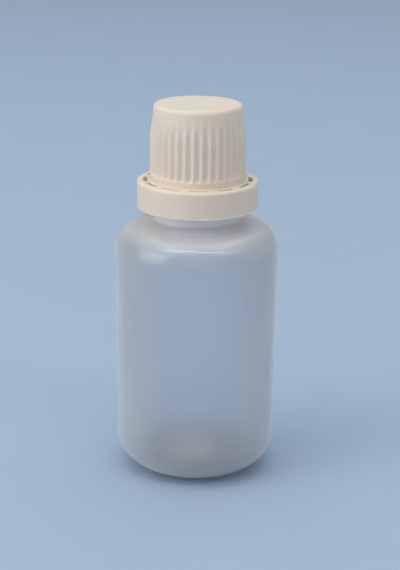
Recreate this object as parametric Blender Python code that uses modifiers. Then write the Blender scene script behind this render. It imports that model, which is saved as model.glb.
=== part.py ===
"""A squeezable dropper bottle with a dropper plug, a ribbed screw cap, a seal disc and a tamper ring.

The bottle stands on z = 0 with its axis on Z, and the front is towards -Y. Lengths are in metres and
angles in degrees. Heights are stacked from the foot upwards and radii from the neck outwards.
"""

import math

import bmesh
import bpy
from mathutils import Matrix

# Shared by all pieces
GAP = 0.0003
EDGE = 0.0002

# Bottle body: the side is widest under the shoulder, and draws in a little towards the foot
BODY_RADIUS = 0.0165
BODY_DRAW_MIDDLE = 0.0003
BODY_DRAW_LOW = 0.00045
SIDE_HEIGHT = 0.0390
WALL = 0.0010
CORNER_WIDTH = 0.0085
CORNER_HEIGHT = 0.0069
FOOT_WIDTH = 0.00108
FOOT_DROP = 0.0006
PUSH_UP_HEIGHT = 0.0013
PUSH_UP_CROWN = 0.0002
PUSH_UP_CROWN_RADIUS = 0.0040
SHOULDER_WIDTH = 0.0043
SHOULDER_HEIGHT = 0.00535
SHOULDER_RISE = 0.00135
SHOULDER_END_ANGLE = 84.0
SIDE_ROWS = 5
BODY_STEPS = 48

# Bottle neck, with the bead that holds the tamper ring
NECK_RADIUS = 0.0073
NECK_WALL = 0.0011
NECK_ROOT_STEP = 0.0015
NECK_ROOT_HEIGHT = 0.0040
NECK_FOOT_FILLET = 0.0006
BORE_FLARE = 0.0012
BEAD_WIDTH = 0.0013
BEAD_HEIGHT = 0.0008
BEAD_SLOPE_HEIGHT = 0.0015
FINISH_HEIGHT = 0.0083
LIP_CHAMFER = 0.0003

# Right-handed thread, with a ridge on the neck and a ridge in the cap
PITCH = 0.0030
NECK_THREAD_DEPTH = 0.0007
CAP_THREAD_DEPTH = 0.00075
THREAD_CLEARANCE = 0.0004
THREAD_FOOT_WIDTH = 0.0011
THREAD_CREST_WIDTH = 0.00044
THREAD_SUNK = 0.0003
NECK_THREAD_RISE = 0.0020
NECK_THREAD_LAND = 0.0015
CAP_THREAD_RISE = 0.00235
CAP_THREAD_LAND = 0.0006
THREAD_FADE_TURNS = 0.125
THREAD_END_SHARE = 0.3
THREAD_STEPS = 24

# Dropper plug
PLUG_FLANGE_INSET = 0.0003
PLUG_FLANGE_HEIGHT = 0.0010
PLUG_SKIRT_LENGTH = 0.0063
PLUG_SKIRT_WALL = 0.0010
PLUG_SKIRT_LEAD = 0.0008
NOZZLE_HEIGHT = 0.0042
NOZZLE_TIP_HEIGHT = 0.0016
NOZZLE_FOOT_RADIUS = 0.0034
NOZZLE_FOOT_FILLET = 0.0008
NOZZLE_WALL = 0.0010
NOZZLE_TIP_RADIUS = 0.0015
ORIFICE_RADIUS = 0.0006
ORIFICE_LENGTH = 0.0008
PLUG_STEPS = 32

# Seal disc
SEAL_THICKNESS = 0.0010
SEAL_CLEARANCE = 0.0004
SEAL_CHAMFER = 0.00015
SEAL_STEPS = 32

# Cap: the ribs run down from the smooth crown to the collar, and the foot steps out below it. The shares give
# how deep each column of a rib's width is pressed in, so two columns are its crest and one is the flute's bottom.
CAP_WALL = 0.0011
CAP_TOP_WALL = 0.0013
CAP_FILLET_WIDTH = 0.0007
CAP_FILLET_HEIGHT = 0.0011
CAP_FOOT_CLEARANCE = 0.0004
CAP_SEAT_CLEARANCE = 0.0004
CAP_SEAT_SLOPE = 0.0004
COLLAR_HEIGHT = 0.0024
FOOT_STEP = 0.0006
CROWN_HEIGHT = 0.0030
CROWN_DRAFT = 0.00022
RIB_COUNT = 36
RIB_DEPTH = 0.00038
RIB_RAMP_HEIGHT = 0.0032
RIB_RAMP_STEPS = 3
FLUTE_SCOOP = 0.0006
FLUTE_TRACE = 0.00004
FLUTE_SHARES = (0.8, 0.0, 0.0, 0.8, 1.0)
CAP_BORE_STEPS = 36

# Tamper ring
RING_WALL = 0.0011
RING_DRAFT = 0.0001
RING_CLEARANCE = 0.0009
RING_FILLET = 0.00055
WEB_THICKNESS = 0.0008
WEB_OVERLAP = 0.0003
LIP_HEIGHT = 0.00105
LIP_SLOPE = 0.0006
LIP_PLAY = 0.0006
LIP_CLEARANCE = 0.00045
SLOT_COUNT = 12
SLOT_ANGLE = 19.5
SLOT_FRONT_ANGLE = -88.7
SLOT_STEPS = 4
RING_STEPS = 48

# How far a cutter runs past the face that it cuts, and the drawn size of a joint's empty
CUT_MARGIN = 0.0005
EMPTY_SIZE = 0.01

# Heights of the bottle
SHOULDER_Z = CORNER_HEIGHT + SIDE_HEIGHT
NECK_FOOT_Z = SHOULDER_Z + SHOULDER_HEIGHT + SHOULDER_RISE
BEAD_LOW_Z = NECK_FOOT_Z + NECK_ROOT_HEIGHT
BEAD_HIGH_Z = BEAD_LOW_Z + BEAD_HEIGHT
BEAD_TOP_Z = BEAD_HIGH_Z + BEAD_SLOPE_HEIGHT
LIP_Z = BEAD_TOP_Z + FINISH_HEIGHT
THREAD_LOW_Z = BEAD_TOP_Z + NECK_THREAD_RISE

# Heights of the closure, from the plug up to the cap's top and down to its foot
FLANGE_LOW_Z = LIP_Z + GAP
FLANGE_TOP_Z = FLANGE_LOW_Z + PLUG_FLANGE_HEIGHT
NOZZLE_TOP_Z = FLANGE_TOP_Z + NOZZLE_HEIGHT
SEAL_LOW_Z = NOZZLE_TOP_Z + GAP
SEAL_TOP_Z = SEAL_LOW_Z + SEAL_THICKNESS
CAP_CEILING_Z = SEAL_TOP_Z + GAP
CAP_TOP_Z = CAP_CEILING_Z + CAP_TOP_WALL
CAP_SEAT_Z = FLANGE_TOP_Z + CAP_SEAT_CLEARANCE
CAP_LOW_Z = BEAD_TOP_Z + CAP_FOOT_CLEARANCE
FLUTE_LOW_Z = CAP_LOW_Z + COLLAR_HEIGHT
RIB_START_Z = CAP_TOP_Z - CROWN_HEIGHT
RING_TOP_Z = CAP_LOW_Z + WEB_OVERLAP + WEB_THICKNESS
LIP_TOP_Z = BEAD_LOW_Z - LIP_PLAY
RING_LOW_Z = LIP_TOP_Z - LIP_HEIGHT

# Radii, from the neck outwards
BORE_RADIUS = NECK_RADIUS - NECK_WALL
NECK_ROOT_RADIUS = NECK_RADIUS + NECK_ROOT_STEP
BEAD_RADIUS = NECK_ROOT_RADIUS + BEAD_WIDTH
NECK_THREAD_RADIUS = NECK_RADIUS + NECK_THREAD_DEPTH
FLANGE_RADIUS = NECK_RADIUS - PLUG_FLANGE_INSET
CAP_SEAT_RADIUS = FLANGE_RADIUS + GAP
SEAL_RADIUS = CAP_SEAT_RADIUS - SEAL_CLEARANCE
CAP_BORE_RADIUS = NECK_THREAD_RADIUS + THREAD_CLEARANCE
CAP_THREAD_RADIUS = CAP_BORE_RADIUS - CAP_THREAD_DEPTH
COLLAR_RADIUS = CAP_BORE_RADIUS + CAP_WALL
FLUTE_RADIUS = COLLAR_RADIUS - RIB_DEPTH
CROWN_RADIUS = FLUTE_RADIUS - CROWN_DRAFT
FOOT_RADIUS = COLLAR_RADIUS + FOOT_STEP
WEB_INNER_RADIUS = FOOT_RADIUS + GAP
LIP_INNER_RADIUS = NECK_ROOT_RADIUS + LIP_CLEARANCE
RING_INNER_RADIUS = BEAD_RADIUS + RING_CLEARANCE
RING_RADIUS = RING_INNER_RADIUS + RING_WALL


def new_collection(name, hidden=False):
    collection = bpy.data.collections.new(name)
    collection.hide_render = hidden
    bpy.context.scene.collection.children.link(collection)
    return collection


def new_material(name, colour, roughness, transmission=0.0):
    material = bpy.data.materials.new(name)
    material.use_nodes = True
    shader = material.node_tree.nodes["Principled BSDF"]
    shader.inputs["Base Color"].default_value = (*colour, 1.0)
    shader.inputs["Roughness"].default_value = roughness
    shader.inputs["Transmission Weight"].default_value = transmission
    shader.inputs["IOR"].default_value = 1.5
    material.diffuse_color = (*colour, 1.0)
    return material


def new_piece(name, mesh, collection, material=None):
    """A part where a material is given, and a cutter where none is."""
    piece = bpy.data.objects.new(name, mesh)
    collection.objects.link(piece)
    if material:
        mesh.materials.append(material)
    else:
        piece.hide_render = True
        piece.display_type = "WIRE"
    return piece


def turned(name, profile, steps, collection, material=None, loop=False):
    """A solid of revolution about Z from (radius, height) points that run down the outer side."""
    count = len(profile)
    edges = [(i, i + 1) for i in range(count - 1)]
    if loop:
        edges.append((count - 1, 0))
    mesh = bpy.data.meshes.new(name)
    mesh.from_pydata([(radius, 0.0, z) for radius, z in profile], edges, [])
    piece = new_piece(name, mesh, collection, material)
    screw = piece.modifiers.new("turn", "SCREW")
    screw.axis = "Z"
    screw.angle = 2 * math.pi
    screw.steps = steps
    screw.render_steps = steps
    screw.use_merge_vertices = True
    screw.merge_threshold = 0.00001
    screw.use_smooth_shade = True
    return piece


def bake(piece):
    """Replaces the modifiers of a piece by the mesh that they make."""
    bpy.context.view_layer.update()
    graph = bpy.context.evaluated_depsgraph_get()
    mesh = bpy.data.meshes.new_from_object(piece.evaluated_get(graph))
    piece.modifiers.clear()
    piece.data = mesh


def boolean(piece, other, operation):
    modifier = piece.modifiers.new(other.name, "BOOLEAN")
    modifier.operation = operation
    modifier.solver = "EXACT"
    modifier.object = other


def arc(centre_r, centre_z, width, height, start, end, steps):
    """Points of an ellipse's arc, with both angles counted from the outward direction."""
    points = []
    for i in range(steps + 1):
        angle = math.radians(start + (end - start) * i / steps)
        points.append((centre_r + width * math.cos(angle), centre_z + height * math.sin(angle)))
    return points


def thread(name, sunk_radius, crest_radius, turns, low_z, collection):
    """A helical ridge with a trapezoid section, from one turn to another.

    The ridge's middle is at low_z where the turn is 0, and its ends fade into the wall.
    """
    first, last = turns
    count = round((last - first) * THREAD_STEPS)
    foot = THREAD_FOOT_WIDTH / 2
    crest = THREAD_CREST_WIDTH / 2
    points = []
    for i in range(count + 1):
        turn = first + (last - first) * i / count
        from_end = (last - first) * min(i, count - i) / count
        faded = min(1.0, from_end / THREAD_FADE_TURNS)
        share = THREAD_END_SHARE + (1 - THREAD_END_SHARE) * faded
        top_radius = sunk_radius + (crest_radius - sunk_radius) * share
        angle = 2 * math.pi * turn
        section = ((sunk_radius, -foot), (top_radius, -crest), (top_radius, crest), (sunk_radius, foot))
        for radius, lift in section:
            z = low_z + PITCH * turn + lift
            points.append((radius * math.cos(angle), radius * math.sin(angle), z))
    end = 4 * count
    faces = [(0, 1, 2, 3), (end + 3, end + 2, end + 1, end)]
    for i in range(0, end, 4):
        for k in range(4):
            n = (k + 1) % 4
            faces.append((i + k, i + n, i + 4 + n, i + 4 + k))
    mesh = bpy.data.meshes.new(name)
    mesh.from_pydata(points, [], faces)
    shape = bmesh.new()
    shape.from_mesh(mesh)
    bmesh.ops.recalc_face_normals(shape, faces=shape.faces)
    shape.to_mesh(mesh)
    shape.free()
    return new_piece(name, mesh, collection)


def body_radius(z):
    """The outer radius of the body's side: a quadratic through its low, middle and top radius."""
    u = (z - CORNER_HEIGHT) / SIDE_HEIGHT
    low = BODY_DRAW_LOW * (1 - u) * (1 - 2 * u)
    middle = 4 * BODY_DRAW_MIDDLE * u * (1 - u)
    return BODY_RADIUS - low - middle


def bottle_profile():
    """The wall's section: up the inside from the middle of the floor, over the lip and down the outside."""
    foot_radius = BODY_RADIUS - BODY_DRAW_LOW - CORNER_WIDTH
    shoulder_radius = BODY_RADIUS - SHOULDER_WIDTH
    side_heights = [CORNER_HEIGHT + SIDE_HEIGHT * i / SIDE_ROWS for i in range(1, SIDE_ROWS)]
    floor = [
        (0.0, PUSH_UP_HEIGHT + WALL),
        (PUSH_UP_CROWN_RADIUS, PUSH_UP_HEIGHT + WALL - PUSH_UP_CROWN),
    ]
    corner_width = CORNER_WIDTH - WALL
    corner_height = CORNER_HEIGHT - WALL
    inner_corner = arc(foot_radius, CORNER_HEIGHT, corner_width, corner_height, -90, 0, 6)
    inner_side = [(body_radius(z) - WALL, z) for z in side_heights]
    shoulder_width = SHOULDER_WIDTH - WALL
    shoulder_height = SHOULDER_HEIGHT - WALL
    end = SHOULDER_END_ANGLE
    inner_shoulder = arc(shoulder_radius, SHOULDER_Z, shoulder_width, shoulder_height, 0, end, 6)
    inner_neck = [
        (NECK_ROOT_RADIUS - NECK_FOOT_FILLET, NECK_FOOT_Z - WALL),
        (BORE_RADIUS + EDGE, NECK_FOOT_Z - EDGE),
        (BORE_RADIUS, NECK_FOOT_Z + BORE_FLARE),
        (BORE_RADIUS, LIP_Z),
    ]
    finish = [
        (NECK_RADIUS - LIP_CHAMFER, LIP_Z),
        (NECK_RADIUS, LIP_Z - LIP_CHAMFER),
        (NECK_RADIUS, BEAD_TOP_Z),
        (BEAD_RADIUS - EDGE, BEAD_HIGH_Z + EDGE),
        (BEAD_RADIUS, BEAD_HIGH_Z),
        (BEAD_RADIUS, BEAD_LOW_Z),
        (NECK_ROOT_RADIUS, BEAD_LOW_Z),
        (NECK_ROOT_RADIUS, NECK_FOOT_Z + NECK_FOOT_FILLET),
        (NECK_ROOT_RADIUS + EDGE, NECK_FOOT_Z + EDGE),
        (NECK_ROOT_RADIUS + NECK_FOOT_FILLET, NECK_FOOT_Z),
    ]
    shoulder = arc(shoulder_radius, SHOULDER_Z, SHOULDER_WIDTH, SHOULDER_HEIGHT, end, 0, 8)
    side = [(body_radius(z), z) for z in reversed(side_heights)]
    corner = arc(foot_radius, CORNER_HEIGHT, CORNER_WIDTH, CORNER_HEIGHT, 0, -90, 8)
    base = [
        (foot_radius - FOOT_WIDTH, 0.0),
        (foot_radius - FOOT_WIDTH - FOOT_DROP, FOOT_DROP),
        (PUSH_UP_CROWN_RADIUS, PUSH_UP_HEIGHT - PUSH_UP_CROWN),
        (0.0, PUSH_UP_HEIGHT),
    ]
    inside = floor + inner_corner + inner_side + inner_shoulder + inner_neck
    return inside + finish + shoulder + side + corner + base


def build_bottle():
    bottle = turned("bottle", bottle_profile(), BODY_STEPS, parts, natural_plastic)
    last_turn = (LIP_Z - NECK_THREAD_LAND - THREAD_LOW_Z) / PITCH
    sunk = NECK_RADIUS - THREAD_SUNK
    ridge = thread("neck_thread", sunk, NECK_THREAD_RADIUS, (0, last_turn), THREAD_LOW_Z, cutters)
    boolean(bottle, ridge, "UNION")


def build_dropper_plug():
    """A hollow insert: nozzle, flange on the lip and skirt in the bore, with a drop hole right through."""
    skirt = BORE_RADIUS - GAP
    inside = skirt - PLUG_SKIRT_WALL
    skirt_low = FLANGE_LOW_Z - PLUG_SKIRT_LENGTH
    cone_top = NOZZLE_TOP_Z - NOZZLE_TIP_HEIGHT
    nozzle = [
        (NOZZLE_TIP_RADIUS - EDGE, NOZZLE_TOP_Z),
        (NOZZLE_TIP_RADIUS, NOZZLE_TOP_Z - EDGE),
        (NOZZLE_TIP_RADIUS + EDGE, cone_top),
        (NOZZLE_FOOT_RADIUS - NOZZLE_FOOT_FILLET, FLANGE_TOP_Z + NOZZLE_FOOT_FILLET),
        (NOZZLE_FOOT_RADIUS, FLANGE_TOP_Z + EDGE),
        (NOZZLE_FOOT_RADIUS + NOZZLE_FOOT_FILLET, FLANGE_TOP_Z),
    ]
    flange_and_skirt = [
        (FLANGE_RADIUS - EDGE, FLANGE_TOP_Z),
        (FLANGE_RADIUS, FLANGE_TOP_Z - EDGE),
        (FLANGE_RADIUS, FLANGE_LOW_Z),
        (skirt, FLANGE_LOW_Z),
        (skirt, skirt_low + PLUG_SKIRT_LEAD),
        (skirt - EDGE, skirt_low),
    ]
    way_through = [
        (inside, skirt_low),
        (inside, FLANGE_LOW_Z - NOZZLE_WALL),
        (NOZZLE_FOOT_RADIUS, FLANGE_LOW_Z),
        (NOZZLE_FOOT_RADIUS - NOZZLE_WALL, FLANGE_TOP_Z),
        (ORIFICE_RADIUS + EDGE, cone_top - NOZZLE_WALL),
        (ORIFICE_RADIUS, NOZZLE_TOP_Z - ORIFICE_LENGTH),
        (ORIFICE_RADIUS, NOZZLE_TOP_Z - EDGE),
        (ORIFICE_RADIUS + EDGE / 2, NOZZLE_TOP_Z),
    ]
    profile = nozzle + flange_and_skirt + way_through
    turned("dropper_plug", profile, PLUG_STEPS, parts, natural_plastic, loop=True)


def rib_profile():
    """The crest line of the ribs: out from the crown along a ramp, and then straight down the cap."""
    points = [(CROWN_RADIUS, CAP_TOP_Z - CAP_FILLET_HEIGHT), (FLUTE_RADIUS, RIB_START_Z)]
    for i in range(1, RIB_RAMP_STEPS + 1):
        u = i / RIB_RAMP_STEPS
        points.append((FLUTE_RADIUS + RIB_DEPTH * u, RIB_START_Z - RIB_RAMP_HEIGHT * u))
    points.append((COLLAR_RADIUS, FLUTE_LOW_Z + FLUTE_SCOOP))
    return points


def press_flutes(mesh):
    """Moves the side of the turned cap inwards between the ribs, down to the scoops above the collar."""
    columns = len(FLUTE_SHARES)
    for vertex in mesh.vertices:
        x, y, z = vertex.co
        if not FLUTE_LOW_Z + FLUTE_SCOOP / 2 < z < CAP_TOP_Z - CAP_FILLET_HEIGHT / 2:
            continue
        radius = math.hypot(x, y)
        column = round(math.degrees(math.atan2(y, x)) * columns * RIB_COUNT / 360)
        depth = max(radius - FLUTE_RADIUS, FLUTE_TRACE) * FLUTE_SHARES[column % columns]
        vertex.co.x = x * (radius - depth) / radius
        vertex.co.y = y * (radius - depth) / radius


def build_cap():
    """A fluted solid, hollowed by a stepped bore, with the inner thread joined to it."""
    fillet_centre = (CROWN_RADIUS - CAP_FILLET_WIDTH, CAP_TOP_Z - CAP_FILLET_HEIGHT)
    fillet = arc(*fillet_centre, CAP_FILLET_WIDTH, CAP_FILLET_HEIGHT, 90, 0, 3)
    collar_and_foot = [
        (COLLAR_RADIUS, FLUTE_LOW_Z),
        (COLLAR_RADIUS, RING_TOP_Z),
        (FOOT_RADIUS, RING_TOP_Z),
        (FOOT_RADIUS, CAP_LOW_Z),
        (0.0, CAP_LOW_Z),
    ]
    profile = [(0.0, CAP_TOP_Z)] + fillet[:-1] + rib_profile() + collar_and_foot
    cap = turned("cap", profile, RIB_COUNT * len(FLUTE_SHARES), parts, white_plastic)
    bake(cap)
    press_flutes(cap.data)

    hollow_profile = [
        (0.0, CAP_CEILING_Z),
        (CAP_SEAT_RADIUS, CAP_CEILING_Z),
        (CAP_SEAT_RADIUS, CAP_SEAT_Z),
        (CAP_BORE_RADIUS, CAP_SEAT_Z - CAP_SEAT_SLOPE),
        (CAP_BORE_RADIUS, CAP_LOW_Z - CUT_MARGIN),
        (0.0, CAP_LOW_Z - CUT_MARGIN),
    ]
    boolean(cap, turned("cap_hollow", hollow_profile, CAP_BORE_STEPS, cutters), "DIFFERENCE")

    middle_z = THREAD_LOW_Z + PITCH / 2
    first_turn = (CAP_LOW_Z + CAP_THREAD_RISE - middle_z) / PITCH
    last_turn = (LIP_Z - CAP_THREAD_LAND - middle_z) / PITCH
    sunk = CAP_BORE_RADIUS + THREAD_SUNK
    ridge = thread("cap_thread", sunk, CAP_THREAD_RADIUS, (first_turn, last_turn), middle_z, cutters)
    boolean(cap, ridge, "UNION")
    return cap


def build_seal_disc():
    profile = [
        (0.0, SEAL_TOP_Z),
        (SEAL_RADIUS - SEAL_CHAMFER, SEAL_TOP_Z),
        (SEAL_RADIUS, SEAL_TOP_Z - SEAL_CHAMFER),
        (SEAL_RADIUS, SEAL_LOW_Z + SEAL_CHAMFER),
        (SEAL_RADIUS - SEAL_CHAMFER, SEAL_LOW_Z),
        (0.0, SEAL_LOW_Z),
    ]
    return turned("seal_disc", profile, SEAL_STEPS, parts, seal_foam)


def slot_cutters():
    """Sector-shaped prisms in one mesh, one for each slot between the ring and the cap's foot."""
    low = RING_TOP_Z - WEB_THICKNESS - CUT_MARGIN
    height = WEB_THICKNESS + 2 * CUT_MARGIN
    shape = bmesh.new()
    for k in range(SLOT_COUNT):
        middle = SLOT_FRONT_ANGLE + 360 * k / SLOT_COUNT
        outline = []
        for radius, sign in ((WEB_INNER_RADIUS - CUT_MARGIN, 1), (RING_INNER_RADIUS, -1)):
            for i in range(SLOT_STEPS + 1):
                angle = math.radians(middle + sign * SLOT_ANGLE * (i / SLOT_STEPS - 0.5))
                point = (radius * math.cos(angle), radius * math.sin(angle), low)
                outline.append(shape.verts.new(point))
        floor = shape.faces.new(outline)
        lifted = bmesh.ops.extrude_face_region(shape, geom=[floor])["geom"]
        corners = [item for item in lifted if isinstance(item, bmesh.types.BMVert)]
        bmesh.ops.translate(shape, verts=corners, vec=(0.0, 0.0, height))
    bmesh.ops.recalc_face_normals(shape, faces=shape.faces)
    mesh = bpy.data.meshes.new("ring_slots")
    shape.to_mesh(mesh)
    shape.free()
    return new_piece("ring_slots", mesh, cutters)


def build_tamper_ring():
    """A skirt with an inner lip under the bottle's bead and a slotted web round the cap's foot."""
    web_low = RING_TOP_Z - WEB_THICKNESS
    low_radius = RING_RADIUS - RING_DRAFT
    fillet_centre = (RING_RADIUS - RING_FILLET, RING_TOP_Z - RING_FILLET)
    profile = [(WEB_INNER_RADIUS, RING_TOP_Z)]
    profile += arc(*fillet_centre, RING_FILLET, RING_FILLET, 90, 0, 3)
    profile += [
        (low_radius, RING_LOW_Z + EDGE),
        (low_radius - EDGE, RING_LOW_Z),
        (LIP_INNER_RADIUS + LIP_SLOPE, RING_LOW_Z),
        (LIP_INNER_RADIUS, RING_LOW_Z + LIP_SLOPE),
        (LIP_INNER_RADIUS, LIP_TOP_Z),
        (RING_INNER_RADIUS, LIP_TOP_Z),
        (RING_INNER_RADIUS, web_low),
        (WEB_INNER_RADIUS, web_low),
    ]
    ring = turned("tamper_ring", profile, RING_STEPS, parts, white_plastic, loop=True)
    boolean(ring, slot_cutters(), "DIFFERENCE")
    return ring


def joint_empty(name, z, parent=None):
    """An empty on the axis that marks a joint and carries the pieces that move."""
    empty = bpy.data.objects.new(name, None)
    empty.empty_display_size = EMPTY_SIZE
    empty.location = (0.0, 0.0, z)
    parts.objects.link(empty)
    if parent:
        carry(parent, empty)
    return empty


def carry(parent, child):
    """Parents the child without moving it."""
    child.parent = parent
    child.matrix_parent_inverse = Matrix.Translation(-parent.location)


for old in list(bpy.data.objects):
    bpy.data.objects.remove(old, do_unlink=True)

parts = new_collection("dropper_bottle")
cutters = new_collection("cutters", hidden=True)
natural_plastic = new_material("natural_polyethylene", (0.78, 0.80, 0.82), 0.35, 0.6)
white_plastic = new_material("warm_white_plastic", (0.86, 0.83, 0.78), 0.4)
seal_foam = new_material("seal_foam", (0.9, 0.9, 0.88), 0.8)

build_bottle()
build_dropper_plug()
cap_lift = joint_empty("cap_lift", CAP_LOW_Z)
cap_turn = joint_empty("cap_turn", CAP_LOW_Z, cap_lift)
ring_spin = joint_empty("ring_spin", RING_LOW_Z)
carry(cap_lift, build_seal_disc())
carry(cap_turn, build_cap())
carry(ring_spin, build_tamper_ring())
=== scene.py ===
"""The looks of a squeezable dropper bottle with a ribbed screw cap and a tamper-evident ring.

Named lengths are in metres and named angles in degrees, and the columns of the grids are in radians. Each
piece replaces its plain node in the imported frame.
"""

import math

import bpy
import numpy as np
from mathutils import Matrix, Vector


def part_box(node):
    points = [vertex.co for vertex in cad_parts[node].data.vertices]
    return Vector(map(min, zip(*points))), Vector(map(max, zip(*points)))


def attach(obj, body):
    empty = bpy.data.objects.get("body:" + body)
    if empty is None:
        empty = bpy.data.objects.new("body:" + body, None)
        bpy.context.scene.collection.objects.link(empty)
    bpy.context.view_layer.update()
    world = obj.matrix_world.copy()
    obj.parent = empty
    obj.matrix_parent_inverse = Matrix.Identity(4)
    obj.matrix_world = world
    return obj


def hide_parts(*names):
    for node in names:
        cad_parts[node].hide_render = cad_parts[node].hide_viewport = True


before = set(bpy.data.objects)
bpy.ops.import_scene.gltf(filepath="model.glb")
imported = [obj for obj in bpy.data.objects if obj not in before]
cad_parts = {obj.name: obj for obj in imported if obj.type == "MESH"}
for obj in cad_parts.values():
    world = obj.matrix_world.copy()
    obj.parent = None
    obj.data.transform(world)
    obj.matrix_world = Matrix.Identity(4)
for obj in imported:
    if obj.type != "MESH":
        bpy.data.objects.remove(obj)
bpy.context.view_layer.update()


# Bottle
# The bottle is blow-moulded in natural low-density polyethylene, with a wall of about a millimetre. Its
# thread, its bead and the faint lines where the two halves of the mould met are all one moulding.

bottle_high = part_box("bottle")[1]
LIP = bottle_high.z

# The body's outline: its side is a little slimmer halfway and low down than under the shoulder.
WAVE_DEPTH = 0.00002
PARTING_HEIGHT = 0.00003
BODY_RADIUS = bottle_high.x - WAVE_DEPTH - PARTING_HEIGHT
BODY_DRAW_MIDDLE = 0.0003
BODY_DRAW_LOW = 0.00045
CORNER_WIDTH = 0.0085
CORNER_HEIGHT = 0.0069
SIDE_HEIGHT = 0.0390
SHOULDER_WIDTH = 0.0043
SHOULDER_HEIGHT = 0.00535
SHOULDER_RISE = 0.00135
SHOULDER_END = 84
SHOULDER = CORNER_HEIGHT + SIDE_HEIGHT

# The walls and the dished base.
WALL = 0.0010
SHOULDER_WALL = 0.0011
PUSH_UP = 0.0013
PUSH_UP_RADIUS = 0.0064
PUSH_UP_STEP = 0.0006
PUSH_UP_FILLET = 0.0005
FOOT_FILLET = 0.0004
DISH_RADIUS = 0.0040
DISH_DROP = 0.0002
DISH_FILLET = 0.0030
FLOOR_FILLET = 0.0020

# The neck with its bead.
NECK_FOOT = SHOULDER + SHOULDER_HEIGHT + SHOULDER_RISE
NECK_ROOT_RADIUS = 0.0088
NECK_RADIUS = 0.0073
BORE_RADIUS = 0.0062
BEAD_RADIUS = 0.0101
BEAD_LOW = 0.0566
BEAD_HIGH = 0.0574
BEAD_TOP = 0.0589
BEAD_FILLET = 0.00025
BORE_FILLET = 0.0008
NECK_FILLET = 0.0003
ROOT_FILLET = 0.0006
ROOT_REACH = 0.0006
SHARP_FILLET = 0.00015
LIP_EDGE = LIP - 0.0008

# The thread on the neck, which the cap's thread follows half a pitch away.
PITCH = 0.0030
NECK_THREAD_LOW = 0.0609
NECK_THREAD_TURNS = 1.6
NECK_THREAD_DEPTH = 0.0007
THREAD_FOOT = 0.0009
THREAD_CREST = 0.00044

# What the mould leaves: the parting line, the line pinched under the base and the waves of the wall.
PARTING_ANGLE = 0.6
PARTING_WIDTH = 0.00012
PINCH_WIDTH = 1.5 * PARTING_WIDTH
PINCH_FULL = 0.0040
PINCH_LENGTH = 0.0050
PINCH_HEIGHT = 0.00025
WAVES_START = 0.0090
WAVES_FULL = 0.0130

# The grid: its columns are closer at the parting line, and its rows keep a small gap where chains meet.
BODY_COLUMN = 1.5
PARTING_COLUMN = 0.25
PARTING_REACH = 2.25
SIDE_ROWS = 40
POLE_RADIUS = 0.0002
ROW_GAP = 0.0001
TOUCHING = 1e-6

# The plastic: its colours and clearness, and the heights and places where they change.
WALL_THIN_COLOUR = (0.950, 0.974, 1.0)
WALL_THICK_COLOUR = (0.865, 0.857, 0.872)
WALL_CLEAR = 0.94
WALL_MILKY = 0.45
CLOUD_REACH = 0.0007
THICK_LOW = 0.0486
THICK_HIGH = 0.0508
# The side's painted shade: how low it starts, and how far it turns the colour towards the thick colour.
SIDE_SHADE_LOW = 0.014
SIDE_SHADE_SHARE = 0.25
BASE_CORNER_SHARE = 0.35
PINCHED_MIDDLE = (0.0, 0.0025, 0.001)
PINCHED_INNER = 0.0060
PINCHED_OUTER = 0.0090
BASE_CORNER_LOW = 0.0005
BASE_CORNER_HIGH = 0.0080
# The middle of the base is milky, and its pale warm colour is a painted glow.
BASE_GLOW_COLOUR = (0.98, 0.93, 0.91)
PINCHED_CLEARNESS = 0.0
EDGE_START = 0.15
NECK_THICK_LOW = 0.0500
NECK_THICK_HIGH = 0.0530
NECK_CLEARNESS = 0.0
STREAK_DEPTH = 0.00003
PEEL_DEPTH = 0.00001
DIMPLE_DEPTH = 0.000015


def rounded(corners, step, turn=10.0):
    """Points along a chain of (radius, height, fillet) corners.

    A fillet is the arc that touches both sides of its corner, with a point every turn degrees, and the
    straight stretches have a point at least every step.
    """
    places = np.array([corner[:2] for corner in corners], float)
    fillets = [corner[2] for corner in corners[1:-1]]
    path = [places[:1]]
    for before, place, after, fillet in zip(places, places[1:], places[2:], fillets):
        if fillet == 0:
            path.append(place[None])
            continue
        a = (before - place) / np.linalg.norm(before - place)
        b = (after - place) / np.linalg.norm(after - place)
        half = math.acos(np.clip(a @ b, -1, 1)) / 2
        sweep = math.pi - 2 * half
        centre = place + (a + b) / np.linalg.norm(a + b) * fillet / math.sin(half)
        start = place + a * fillet / math.tan(half) - centre
        end = place + b * fillet / math.tan(half) - centre
        count = max(3, round(math.degrees(sweep) / turn))
        t = np.linspace(0, 1, count)[:, None]
        turned = np.sin((1 - t) * sweep) * start + np.sin(t * sweep) * end
        path.append(centre + turned / math.sin(sweep))
    path.append(places[-1:])
    chain = np.vstack(path)
    runs = []
    for start, end in zip(chain, chain[1:]):
        count = max(1, math.ceil(np.linalg.norm(end - start) / step))
        runs.append(start + (end - start) * np.arange(count)[:, None] / count)
    return np.vstack(runs + [chain[-1:]])


def elliptic(centre_r, centre_z, width, height, start, end, count):
    """Points along an ellipse: its centre plus width times the cosine and height times the sine."""
    angle = np.radians(np.linspace(start, end, count))
    return np.column_stack([centre_r + width * np.cos(angle), centre_z + height * np.sin(angle)])


def smooth_step(value, low, high):
    """0 up to low and 1 from high on, with the cubic 3t² - 2t³ between them."""
    t = np.clip((value - low) / (high - low), 0, 1)
    return t * t * (3 - 2 * t)


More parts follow.
